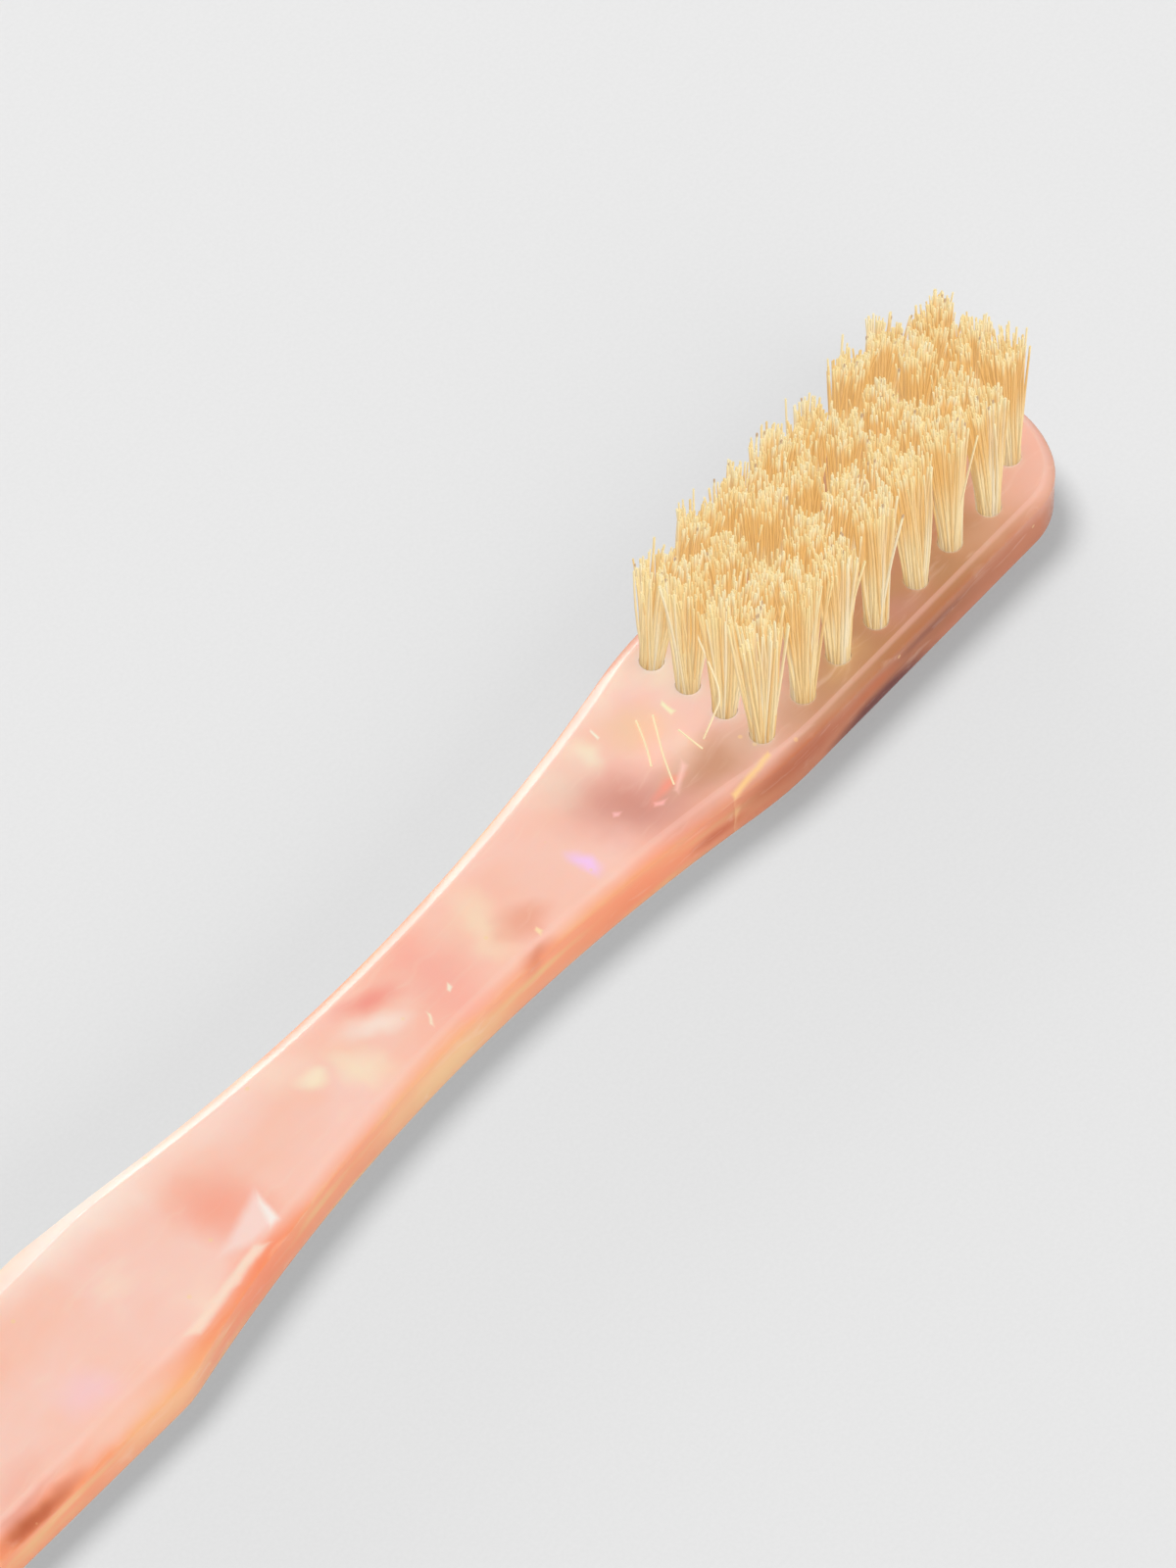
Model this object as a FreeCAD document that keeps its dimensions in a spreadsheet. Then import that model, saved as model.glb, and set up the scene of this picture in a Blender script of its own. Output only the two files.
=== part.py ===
import FreeCAD, Part

import math
import os

import Sketcher

# A flat acetate toothbrush. +X runs to the tip of the head and +Z up through the tufts.
# The underside lies on z = 0, and the origin is in the middle of its length and width.

SIZES = [
    # blank of the handle
    ("overall_length", 178.0),
    ("handle_thickness", 4.4),
    ("neck_width", 7.5),
    ("grip_width", 12.9),
    ("tail_width", 10.0),
    ("front_flare_length", 26.3),
    ("rear_flare_length", 26.7),
    ("tip_radius", 7.2),
    ("tip_corner_radius", 4.6),
    ("head_corner_radius", 25.0),
    ("shoulder_radius", 8.0),
    # edges of the blank
    ("top_edge_bevel", 0.6),
    ("bottom_edge_bevel", 0.7),
    ("grip_bevel_width", 1.7),
    ("grip_bevel_depth", 1.2),
    # tuft field in the head
    ("row_pitch", 3.5),
    ("column_pitch", 2.69),
    ("tip_margin", 3.65),
    ("side_margin", 2.1),
    ("root_margin", 0.45),
    ("hole_diameter", 1.5),
    ("hole_depth", 3.1),
    # tuft of folded hairs
    ("tuft_clearance", 0.03),
    ("tuft_gap", 0.3),
    ("bristle_height", 11.0),
    ("tip_unevenness", 0.3),
    # anchor across the fold
    ("anchor_thickness", 0.3),
    ("anchor_height", 1.4),
    ("anchor_bite", 0.25),
    ("anchor_lift", 0.6),
    ("anchor_clearance", 0.01),
    # how far a cut runs past the material
    ("cut_overrun", 2.0),
]

FULL_ROWS = 7
FULL_COLUMNS = 4
TIP_COLUMNS = 3
LOCKS = 5
VALLEY_SHARE = 0.82
TURN_STEP = 2.4

# Places and half widths that several pieces share, worked out from the sizes.
SHARED = [
    ("tip_x", "sizes.overall_length / 2"),
    ("tip_row_x", "derived.tip_x - sizes.tip_margin"),
    ("last_row_x", f"derived.tip_row_x - {FULL_ROWS} * sizes.row_pitch"),
    ("head_end_x", "derived.last_row_x - sizes.root_margin"),
    ("neck_x", "derived.head_end_x - sizes.front_flare_length"),
    ("shoulder_x", "derived.neck_x - sizes.rear_flare_length"),
    ("head_half", f"{FULL_COLUMNS - 1} * sizes.column_pitch / 2 + sizes.side_margin"),
    ("neck_half", "sizes.neck_width / 2"),
    ("grip_half", "sizes.grip_width / 2"),
    ("tail_half", "sizes.tail_width / 2"),
    ("tip_centre_x", "derived.tip_x - sizes.tip_radius"),
    ("tip_corner_x", "derived.tip_centre_x + sqrt(sizes.tip_radius ^ 2 - derived.head_half ^ 2)"),
    ("tail_centre_x", "derived.tail_half - derived.tip_x"),
    ("bevel_slope", "sizes.grip_bevel_depth / sizes.grip_bevel_width"),
    ("bevel_inner_y", "derived.grip_half - sizes.grip_bevel_width - sizes.cut_overrun"),
    ("bevel_outer_y", "derived.grip_half + sizes.cut_overrun"),
    ("bevel_top_z", "sizes.handle_thickness + sizes.cut_overrun * derived.bevel_slope"),
    ("wedge_width", "sizes.grip_bevel_width + 2 * sizes.cut_overrun"),
    ("bevel_low_z", "derived.bevel_top_z - derived.wedge_width * derived.bevel_slope"),
    ("plug_half", "sizes.hole_diameter / 2 - sizes.tuft_clearance"),
    ("plug_depth", "sizes.hole_depth - sizes.tuft_clearance"),
    ("crown_half_length", "(sizes.row_pitch - sizes.tuft_gap) / 2"),
    ("crown_half_width", "(sizes.column_pitch - sizes.tuft_gap) / 2"),
    ("anchor_length", "sizes.hole_diameter + 2 * sizes.anchor_bite"),
    ("anchor_bottom", "sizes.anchor_lift - sizes.hole_depth"),
    ("anchor_top", "derived.anchor_bottom + sizes.anchor_height"),
    ("slot_length", "derived.anchor_length + 2 * sizes.anchor_clearance"),
    ("slot_width", "sizes.anchor_thickness + 2 * sizes.anchor_clearance"),
    ("slot_top", "derived.anchor_top + sizes.anchor_clearance"),
    ("slot_height", "sizes.anchor_height + 2 * sizes.anchor_clearance"),
]

START, END, CENTRE = range(1, 4)
ORIGIN = (-1, START)
X_AXIS = -1

doc = FreeCAD.newDocument("toothbrush")
sizes = doc.addObject("Spreadsheet::Sheet", "sizes")
for line, (alias, value) in enumerate(SIZES, start=1):
    sizes.set(f"A{line}", alias)
    sizes.set(f"B{line}", str(value))
    sizes.setAlias(f"B{line}", alias)
doc.recompute()

derived = doc.addObject("App::VarSet", "derived")
for name, expression in SHARED:
    derived.addProperty("App::PropertyFloat", name)
    derived.setExpression(name, expression)
    doc.recompute()


def add_body(label, x="0", y="0", z="0"):
    body = doc.addObject("PartDesign::Body", label)
    body.Label = label
    body.setExpression("Placement.Base.x", x)
    body.setExpression("Placement.Base.y", y)
    body.setExpression("Placement.Base.z", z)
    return body


def origin_item(body, role):
    return next(item for item in body.Origin.OriginFeatures if item.Role == role)


def add_sketch(body, name, role="XY_Plane", lift="0"):
    sketch = body.newObject("Sketcher::SketchObject", f"{body.Label}_{name}")
    sketch.AttachmentSupport = [(origin_item(body, role), "")]
    sketch.MapMode = "FlatFace"
    sketch.setExpression("AttachmentOffset.Base.z", lift)
    return sketch


def add_feature(body, kind, name, **bound):
    """Add a feature to the body, with the named properties bound to expressions."""
    feature = body.newObject(f"PartDesign::{kind}", f"{body.Label}_{name}")
    for key, expression in bound.items():
        feature.setExpression(key, expression)
    return feature


def bind(sketch, constraint, expression):
    index = sketch.addConstraint(constraint)
    sketch.setExpression(f"Constraints[{index}]", expression)


def pin(sketch, geometry, point, x, y):
    """Hold one point of the sketch at two expressions."""
    here = sketch.getPoint(geometry, point)
    bind(sketch, Sketcher.Constraint("DistanceX", *ORIGIN, geometry, point, here.x), x)
    bind(sketch, Sketcher.Constraint("DistanceY", *ORIGIN, geometry, point, here.y), y)


def join(sketch, first, first_point, second, second_point, kind="Coincident"):
    sketch.addConstraint(Sketcher.Constraint(kind, first, first_point, second, second_point))


def spot(x, y):
    return FreeCAD.Vector(x, y, 0)


def arc(centre, radius, start, end):
    return Part.ArcOfCircle(Part.Circle(centre, FreeCAD.Vector(0, 0, 1), radius), start, end)


def add_polygon(sketch, corners):
    """Draw a closed polygon. Each corner is an x and a y, and each of those a value with its expression."""
    spots = [spot(x[0], y[0]) for x, y in corners]
    first = sketch.GeometryCount
    for here, there in zip(spots, spots[1:] + spots[:1]):
        sketch.addGeometry(Part.LineSegment(here, there), False)
    for step, (x, y) in enumerate(corners):
        before = first + (step - 1) % len(corners)
        join(sketch, before, END, first + step, START)
        pin(sketch, first + step, START, x[1], y[1])


def own(name, sign=1):
    """A shared value with its expression, on the chosen side of the axis."""
    return sign * getattr(derived, name), f"{sign} * derived.{name}"


def draw_slit(sketch, x, y):
    """Draw the slot for an anchor round a middle place given as value and expression pairs."""

    def sides(place, name):
        half = getattr(derived, name) / 2
        return [(place[0] + side * half, f"{place[1]} + {side} * derived.{name} / 2") for side in (-1, 1)]

    left, right = sides(x, "slot_length")
    front, back = sides(y, "slot_width")
    add_polygon(sketch, [(left, front), (right, front), (right, back), (left, back)])


def edges_at(feature, level):
    """Names of the edges that lie wholly on one level."""
    found = []
    for number, edge in enumerate(feature.Shape.Edges, start=1):
        box = edge.BoundBox
        if max(abs(box.ZMin - level), abs(box.ZMax - level)) < sizes.tuft_clearance:
            found.append(f"Edge{number}")
    return found


def upright_edges_at(feature, x):
    """Names of the upright edges at one place along the handle."""
    found = []
    for number, edge in enumerate(feature.Shape.Edges, start=1):
        box = edge.BoundBox
        if box.ZLength > sizes.handle_thickness / 2 and abs(box.Center.x - x) < sizes.tuft_clearance:
            found.append(f"Edge{number}")
    return found


def draw_plan(sketch):
    """Outline of the blank: blunt tip, straight head, hollow neck, tapered grip, round tail."""
    reach = math.asin(derived.head_half / sizes.tip_radius)
    quarter = math.pi / 2
    tip = sketch.addGeometry(arc(spot(derived.tip_centre_x, 0), sizes.tip_radius, -reach, reach), False)
    tail = sketch.addGeometry(
        arc(spot(derived.tail_centre_x, 0), derived.tail_half, quarter, 3 * quarter), False
    )
    ends = [
        (tip, own("tip_centre_x"), (sizes.tip_radius, "sizes.tip_radius")),
        (tail, own("tail_centre_x"), own("tail_half")),
    ]
    for curve, x, radius in ends:
        sketch.addConstraint(Sketcher.Constraint("PointOnObject", curve, CENTRE, X_AXIS))
        bind(sketch, Sketcher.Constraint("DistanceX", *ORIGIN, curve, CENTRE, x[0]), x[1])
        bind(sketch, Sketcher.Constraint("Radius", curve, radius[0]), radius[1])
    for side in (1, -1):
        draw_side(sketch, side, tip, tail)


def draw_side(sketch, side, tip, tail):
    """One long side of the blank, from the tip arc back to the tail arc."""
    head_corner = spot(derived.head_end_x, side * derived.head_half)
    shoulder = spot(derived.shoulder_x, side * derived.grip_half)
    head_start = spot(derived.tip_corner_x, side * derived.head_half)
    tail_start = spot(derived.tail_centre_x, side * derived.tail_half)
    head_line = sketch.addGeometry(Part.LineSegment(head_start, head_corner), False)
    grip_line = sketch.addGeometry(Part.LineSegment(shoulder, tail_start), False)
    front = sketch.addGeometry(flare(head_corner, side), False)
    rear = sketch.addGeometry(flare(shoulder, side), False)
    # An arc runs anticlockwise, so its ends change places on the other side.
    first, last = (START, END) if side > 0 else (END, START)
    sketch.addConstraint(Sketcher.Constraint("Horizontal", head_line))
    join(sketch, tip, last, head_line, START)
    join(sketch, tail, first, grip_line, END, "Tangent")
    join(sketch, head_line, END, front, last)
    join(sketch, front, first, rear, last)
    join(sketch, rear, first, grip_line, START)
    join(sketch, front, CENTRE, front, first, "Vertical")
    join(sketch, rear, CENTRE, rear, last, "Vertical")
    pin(sketch, head_line, END, "derived.head_end_x", f"{side} * derived.head_half")
    pin(sketch, front, first, "derived.neck_x", f"{side} * derived.neck_half")
    pin(sketch, rear, first, "derived.shoulder_x", f"{side} * derived.grip_half")


def flare(corner, side):
    """Hollow arc from the narrowest place of the neck out to a corner of the outline."""
    run = corner.x - derived.neck_x
    rise = abs(corner.y) - derived.neck_half
    radius = (run * run + rise * rise) / (2 * rise)
    sweep = math.asin(run / radius)
    foot = -side * math.pi / 2
    centre = spot(derived.neck_x, side * (derived.neck_half + radius))
    return arc(centre, radius, min(foot, foot + side * sweep), max(foot, foot + side * sweep))


def make_handle():
    handle = add_body("handle")
    plan = add_sketch(handle, "plan")
    draw_plan(plan)
    blank = add_feature(handle, "Pad", "blank", Length="sizes.handle_thickness")
    blank.Profile = plan
    doc.recompute()

    tip_corners = add_feature(handle, "Fillet", "tip_corners", Radius="sizes.tip_corner_radius")
    tip_corners.Base = (blank, upright_edges_at(blank, derived.tip_corner_x))
    doc.recompute()

    head_corners = add_feature(handle, "Fillet", "head_corners", Radius="sizes.head_corner_radius")
    head_corners.Base = (tip_corners, upright_edges_at(tip_corners, derived.head_end_x))
    doc.recompute()

    shoulders = add_feature(handle, "Fillet", "shoulders", Radius="sizes.shoulder_radius")
    shoulders.Base = (head_corners, upright_edges_at(head_corners, derived.shoulder_x))
    doc.recompute()

    top_edge = add_feature(handle, "Chamfer", "top_edge", Size="sizes.top_edge_bevel")
    top_edge.Base = (shoulders, edges_at(shoulders, sizes.handle_thickness))
    doc.recompute()

    bottom_edge = add_feature(handle, "Chamfer", "bottom_edge", Size="sizes.bottom_edge_bevel")
    bottom_edge.Base = (top_edge, edges_at(top_edge, 0))
    doc.recompute()

    # Two flat bevels along the grip, which run out where the neck grows narrow.
    wedges = add_sketch(handle, "wedges", "YZ_Plane", "derived.neck_x")
    for side in (1, -1):
        inner, outer = own("bevel_inner_y", side), own("bevel_outer_y", side)
        top, low = own("bevel_top_z"), own("bevel_low_z")
        add_polygon(wedges, [(inner, top), (outer, low), (outer, top)])
    grip_bevels = add_feature(
        handle, "Pocket", "grip_bevels", Length="derived.neck_x + derived.tip_x + sizes.cut_overrun"
    )
    grip_bevels.Profile = wedges
    doc.recompute()

    drill_rows(handle, "full_rows", "derived.last_row_x", FULL_ROWS, FULL_COLUMNS)
    drill_rows(handle, "tip_row", "derived.tip_row_x", 1, TIP_COLUMNS)
    return handle


def first_column(columns):
    """Expression for the sideways place of the first of so many columns."""
    return f"-{columns - 1} * sizes.column_pitch / 2"


def drill_rows(handle, name, row_x, rows, columns):
    """Drill one blind hole with its anchor slot, and repeat both along and across the head."""
    row_value = getattr(derived, row_x.split(".")[1])
    column_value = -(columns - 1) * sizes.column_pitch / 2
    middle = spot(row_value, column_value)
    mouth = add_sketch(handle, f"{name}_mouth", lift="sizes.handle_thickness")
    circle = Part.Circle(middle, FreeCAD.Vector(0, 0, 1), sizes.hole_diameter / 2)
    mouth.addGeometry(circle, False)
    bind(mouth, Sketcher.Constraint("Diameter", 0, sizes.hole_diameter), "sizes.hole_diameter")
    pin(mouth, 0, CENTRE, row_x, first_column(columns))
    hole = add_feature(handle, "Pocket", f"{name}_hole", Length="sizes.hole_depth")
    hole.Profile = mouth

    slit = add_sketch(handle, f"{name}_slit", lift="sizes.handle_thickness + derived.slot_top")
    draw_slit(slit, (row_value, row_x), (column_value, first_column(columns)))
    slot = add_feature(handle, "Pocket", f"{name}_slot", Length="derived.slot_height")
    slot.Profile = slit
    doc.recompute()

    repeat = add_feature(
        handle, "LinearPattern", f"{name}_repeat", Offset="sizes.row_pitch", Offset2="sizes.column_pitch"
    )
    repeat.Originals = [hole, slot]
    repeat.Direction = (origin_item(handle, "X_Axis"), [""])
    repeat.Direction2 = (origin_item(handle, "Y_Axis"), [""])
    repeat.Mode = "Spacing"
    repeat.Mode2 = "Spacing"
    repeat.Occurrences = rows
    repeat.Occurrences2 = columns
    handle.Tip = repeat
    doc.recompute()


def draw_bundle(sketch, half_length, half_width, turn):
    """A star with one point for each lock of hairs, its points on an ellipse."""
    corners = []
    for step in range(2 * LOCKS):
        angle = turn + step * math.pi / LOCKS
        reach_share = VALLEY_SHARE if step % 2 else 1
        x_share = reach_share * math.cos(angle)
        y_share = reach_share * math.sin(angle)
        x = x_share * getattr(derived, half_length), f"{x_share} * derived.{half_length}"
        y = y_share * getattr(derived, half_width), f"{y_share} * derived.{half_width}"
        corners.append((x, y))
    add_polygon(sketch, corners)


def make_tuft(label, number, x, y):
    """Hairs folded in half: a plug that fills the hole, slit for the anchor, and a spreading bundle."""
    tuft = add_body(label, x, y, "sizes.handle_thickness")
    turn = number * TURN_STEP
    mouth = add_sketch(tuft, "mouth")
    draw_bundle(mouth, "plug_half", "plug_half", turn)
    plug = add_feature(tuft, "Pad", "plug", Length="derived.plug_depth")
    plug.Profile = mouth
    plug.Reversed = True
    doc.recompute()

    uneven_share = math.sin(turn)
    level = f"sizes.bristle_height + {uneven_share} * sizes.tip_unevenness"
    crown = add_sketch(tuft, "crown", lift=level)
    draw_bundle(crown, "crown_half_length", "crown_half_width", turn)
    bundle = add_feature(tuft, "AdditiveLoft", "bundle")
    bundle.Profile = mouth
    bundle.Sections = [crown]
    bundle.Ruled = True
    doc.recompute()

    slit = add_sketch(tuft, "slit", lift="derived.slot_top")
    draw_slit(slit, (0, "0"), (0, "0"))
    slot = add_feature(tuft, "Pocket", "slot", Length="derived.slot_height")
    slot.Profile = slit
    doc.recompute()
    return tuft


def make_anchor(label, x, y):
    anchor = doc.addObject("Part::Box", label)
    anchor.setExpression("Length", "derived.anchor_length")
    anchor.setExpression("Width", "sizes.anchor_thickness")
    anchor.setExpression("Height", "sizes.anchor_height")
    anchor.setExpression("Placement.Base.x", f"{x} - derived.anchor_length / 2")
    anchor.setExpression("Placement.Base.y", f"{y} - sizes.anchor_thickness / 2")
    anchor.setExpression("Placement.Base.z", "sizes.handle_thickness + derived.anchor_bottom")
    return anchor


def tuft_places():
    """Name and place of every tuft, from the tip row back to the last row."""
    for row in range(FULL_ROWS + 1):
        columns = FULL_COLUMNS if row else TIP_COLUMNS
        for column in range(columns):
            x = f"derived.tip_row_x - {row} * sizes.row_pitch"
            y = f"{first_column(columns)} + {column} * sizes.column_pitch"
            yield f"row{row + 1}_column{column + 1}", x, y


nodes = [make_handle()]
anchors = []
for number, (name, x, y) in enumerate(tuft_places(), start=1):
    nodes.append(make_tuft(f"tuft_{name}", number, x, y))
    anchors.append(make_anchor(f"anchor_{name}", x, y))

anchor_set = doc.addObject("Part::Compound", "tuft_anchors")
anchor_set.Label = "tuft_anchors"
anchor_set.Links = anchors
nodes.append(anchor_set)
doc.recompute()

for item in doc.Objects:
    if "Invalid" in item.State or "Error" in item.State:
        raise RuntimeError(f"{item.Label} did not build")
for node in nodes:
    if node.Shape.isNull() or not node.Shape.isValid():
        raise RuntimeError(f"{node.Label} has no valid shape")

os.makedirs("parts", exist_ok=True)
for node in nodes:
    node.Shape.exportStep(f"parts/{node.Label}.step")
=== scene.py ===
"""A flat toothbrush of marbled acetate with natural hair tufts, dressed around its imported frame."""
import math

import bmesh
import bpy
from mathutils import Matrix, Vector
from mathutils.geometry import delaunay_2d_cdt


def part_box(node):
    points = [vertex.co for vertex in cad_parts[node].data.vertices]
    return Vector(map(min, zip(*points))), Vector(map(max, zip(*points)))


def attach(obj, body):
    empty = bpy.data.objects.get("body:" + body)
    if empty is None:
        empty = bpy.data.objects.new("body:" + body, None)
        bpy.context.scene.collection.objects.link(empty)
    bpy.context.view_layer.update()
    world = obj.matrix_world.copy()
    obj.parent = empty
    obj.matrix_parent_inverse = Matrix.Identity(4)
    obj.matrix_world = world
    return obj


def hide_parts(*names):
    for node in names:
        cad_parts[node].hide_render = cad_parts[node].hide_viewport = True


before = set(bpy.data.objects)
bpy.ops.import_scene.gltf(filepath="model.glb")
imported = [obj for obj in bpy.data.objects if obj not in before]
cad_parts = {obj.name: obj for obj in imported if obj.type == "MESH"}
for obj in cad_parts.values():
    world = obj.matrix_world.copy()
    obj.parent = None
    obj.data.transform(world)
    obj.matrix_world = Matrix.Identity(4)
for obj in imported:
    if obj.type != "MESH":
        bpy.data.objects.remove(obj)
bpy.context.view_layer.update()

MM = 0.001

# Camera, fitted to the outline and the tuft row of the photograph.
VIEW_AZIMUTH = math.radians(-51.31)
VIEW_ELEVATION = math.radians(53.19)
VIEW_DISTANCE = 675 * MM
VIEW_TARGET = Vector((51.73, 1.46, 4.4)) * MM
VIEW_LENS = 273.33
SENSOR_SIZE = 36.0

# Sizes of the handle in millimetres, beside those that the frame gives.
NECK_WIDTH = 7.5
GRIP_WIDTH = 12.9
TAIL_WIDTH = 10.0
FRONT_FLARE = 26.3
REAR_FLARE = 26.7
ROW_PITCH = 3.5
ROOT_MARGIN = 0.45
SIDE_MARGIN = 2.1
HEAD_CORNER_RADIUS = 25.0
SHOULDER_RADIUS = 8.0
HEAD_BEVEL_WIDTH = 0.6
NECK_BEVEL_WIDTH = 0.9
TOP_BEVEL_DEPTH = 0.5
GRIP_BEVEL_WIDTH = 1.7
GRIP_BEVEL_DEPTH = 1.2
BOTTOM_BEVEL = 0.7
EDGE_SOFTNESS = 0.18
BOTTOM_SOFTNESS = 0.4
BEVEL_BLEND = 0.25
TIP_RADIUS = 7.2
TIP_CORNER_RADIUS = 4.6
HOLE_RADIUS = 0.75
HOLE_DEPTH = 3.1

# Sizes of the hairs in millimetres.
HAIR_RADIUS = 0.088
HAIR_FOOT_DEPTH = 1.4
HAIR_UNEVENNESS = 1.0
HAIR_WANDER = 0.42
HAIR_BEND = 0.16
TUFT_LEAN = 0.15
INWARD_LEAN = 0.55
TUFT_STEP = 0.9
INNER_REACH = 1.8
LOCK_GATHER = (1.5, 1.5, 0.0)

# Counts of the hairs, and shares and powers that shape them.
HAIRS_PER_TUFT = 140
HAIR_STEPS = 7
HAIR_SIDES = 5
CROWN_SHARE = 0.86
SPREAD_POWER = 1.12
ROOT_ROW_SPREAD = 0.3
ROOT_ROW_POWER = 6
INWARD_POWER = 3
TIP_THINNING = 0.25
GIRTH_RANGE = (0.75, 1.2)
END_RANGE = (-1.2, 0.0)
END_LIMIT = 0.1
STRAY_CHANCE = 0.06
STRAY_EXTRA = 1.8
LOCK_SCALE = 1.2
LOCK_LEVEL = 0.55
LOCK_RAGGEDNESS = 2.4
LOCK_SHADE_RANGE = (0.36, 0.66)

# Turns in radians from one tuft to the next, and where they start, so that no two are alike.
SPIRAL_TURN = 0.7
LEAN_TURN_X = 2.4
LEAN_TURN_Y = 1.7
LEAN_START_Y = 1.0
LENGTH_TURN = 5.1

# Cut hairs that lie loose on the neck, as points in millimetres.
LOOSE_HAIR_RADIUS = 0.06
LOOSE_HAIRS = [
    [(61.3, 2.0, 10.5), (60.0, -0.3, 9.8), (59.1, -2.4, 8.4), (58.7, -2.1, 6.6), (58.3, -1.7, 4.5)],
    [(57.8, 1.6, 4.5), (56.7, 0.3, 4.6), (55.7, -0.9, 4.55), (54.7, -2.4, 4.5)],
    [(56.9, 2.1, 4.5), (55.9, 0.5, 4.55), (54.9, -0.6, 4.5)],
    [(57.9, -0.2, 4.5), (57.7, -1.4, 4.6), (57.7, -2.1, 4.5)],
]

tuft_names = sorted(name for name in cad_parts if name.startswith("tuft_row"))


# Node trees.

def port(sockets, key):
    """A socket by its identifier, else by its name or its number."""
    for socket in sockets:
        if socket.identifier == key:
            return socket
    return sockets[key]


def feed(tree, socket, value):
    if isinstance(value, bpy.types.NodeSocket):
        tree.links.new(value, socket)
    else:
        socket.default_value = value


def put(tree, kind, inputs=None, **settings):
    node = tree.nodes.new(kind)
    for key, value in settings.items():
        setattr(node, key, value)
    for key, value in (inputs or {}).items():
        feed(tree, port(node.inputs, key), value)
    return node


def calc(tree, operation, *values):
    node = put(tree, "ShaderNodeMath", operation=operation)
    for place, value in enumerate(values):
        feed(tree, node.inputs[place], value)
    return node.outputs[0]


def times(tree, first, second):
    return calc(tree, "MULTIPLY", first, second)


def plus(tree, first, second):
    return calc(tree, "ADD", first, second)


def minus(tree, first, second):
    return calc(tree, "SUBTRACT", first, second)


def vector_calc(tree, operation, *values):
    node = put(tree, "ShaderNodeVectorMath", operation=operation)
    for place, value in enumerate(values):
        feed(tree, node.inputs[place], value)
    gives_number = operation in ("LENGTH", "DOT_PRODUCT")
    return node.outputs["Value" if gives_number else "Vector"]


def scaled(tree, vector, factor):
    node = put(tree, "ShaderNodeVectorMath", {0: vector}, operation="SCALE")
    feed(tree, node.inputs["Scale"], factor)
    return node.outputs[0]


def mixed(tree, share, first, second):
    node = put(tree, "ShaderNodeMix", data_type="RGBA", blend_type="MIX")
    feed(tree, port(node.inputs, "Factor_Float"), share)
    feed(tree, port(node.inputs, "A_Color"), first)
    feed(tree, port(node.inputs, "B_Color"), second)
    return port(node.outputs, "Result_Color")


def ramp(tree, value, places, colours):
    """Colour along a value, with one colour at each of the places."""
    node = put(tree, "ShaderNodeValToRGB", {"Fac": value})
    bar = node.color_ramp.elements
    while len(bar) < len(places):
        bar.new(1.0)
    for element, place, colour in zip(bar, places, colours):
        element.position = place
        element.color = colour
    return node.outputs["Color"]


def rise(tree, value, low, high):
    """Soft step of a value from 0 at low to 1 at high."""
    node = put(tree, "ShaderNodeMapRange", interpolation_type="SMOOTHSTEP")
    feed(tree, node.inputs["Value"], value)
    feed(tree, node.inputs["From Min"], low)
    feed(tree, node.inputs["From Max"], high)
    return node.outputs["Result"]


def noise(tree, place, scale, detail=2.0, distortion=0.0):
    inputs = {"Vector": place, "Scale": scale, "Detail": detail, "Distortion": distortion}
    return put(tree, "ShaderNodeTexNoise", inputs)


def stretched_noise(tree, place, scales, detail=2.0, distortion=0.0):
    """Noise that has a scale of its own along each axis."""
    spot = vector_calc(tree, "MULTIPLY", place, scales)
    return noise(tree, spot, 1.0, detail, distortion).outputs["Fac"]


def rgb(red, green, blue):
    """A linear colour from the usual 0 to 255 screen values."""
    def linear(value):
        share = value / 255
        return share / 12.92 if share <= 0.04045 else ((share + 0.055) / 1.055) ** 2.4
    return linear(red), linear(green), linear(blue), 1.0


def new_material(name):
    material = bpy.data.materials.new(name)
    material.use_nodes = True
    tree = material.node_tree
    tree.nodes.clear()
    shader = put(tree, "ShaderNodeBsdfPrincipled")
    surface = put(tree, "ShaderNodeOutputMaterial")
    tree.links.new(shader.outputs["BSDF"], surface.inputs["Surface"])
    return material, tree, shader


def set_sockets(node, values):
    for name, value in values.items():
        node.inputs[name].default_value = value


# Materials.

PEACH = rgb(255, 199, 179)
PINK = rgb(255, 206, 191)
SALMON = rgb(255, 188, 167)
CORAL = rgb(251, 160, 116)
DEEP_CORAL = rgb(251, 162, 122)
CREAM = rgb(255, 224, 202)
AMBER = rgb(242, 186, 130)
GOLD = rgb(250, 214, 150)
BROWN = rgb(198, 118, 80)
TUFT_SHADE_TAN = rgb(204, 150, 110)
HAIR_ROOT = rgb(214, 174, 116)
HAIR_SHAFT = rgb(240, 212, 158)
HAIR_DEEP = rgb(240, 188, 106)
HAIR_END = rgb(255, 238, 178)
HAIR_AMBER = rgb(238, 186, 108)
HAIR_CREAM = rgb(255, 230, 174)
HAIR_PALE = rgb(255, 250, 230)
HAIR_DARK = rgb(172, 100, 40)
BRASS_DARK = rgb(186, 144, 72)
BRASS_LIGHT = rgb(226, 190, 112)
PAPER_DARK = rgb(232, 232, 232)
PAPER_LIGHT = rgb(234, 234, 234)
MID_GREY = (0.5, 0.5, 0.5)

# Noise in the materials: scales per millimetre, or per metre on the floor, reaches in millimetres.
FLOW_SCALE, FLOW_REACH = 0.11, (9.0, 6.0, 1.2)
WAVER_SCALE, WAVER_REACH = 0.3, (2.6, 2.0, 0.6)
TREMBLE_SCALE, TREMBLE_REACH = 0.9, (0.3, 0.3, 0.3)
CLOUD_SCALES = (0.075, 0.13, 0.5)
STREAK_SCALES = (0.06, 0.12, 0.5)
THREAD_SCALES = (0.22, 1.5, 1.5)
SMEAR_SCALES = (0.3, 1.2, 1.2)
WAVE_SCALES = (0.12, 0.35, 0.35)
SCRATCH_SCALES = (0.6, 9.0, 9.0)
FLECK_SCALE = 0.55
FLOOR_GRAIN_SCALE = 4000.0

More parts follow.
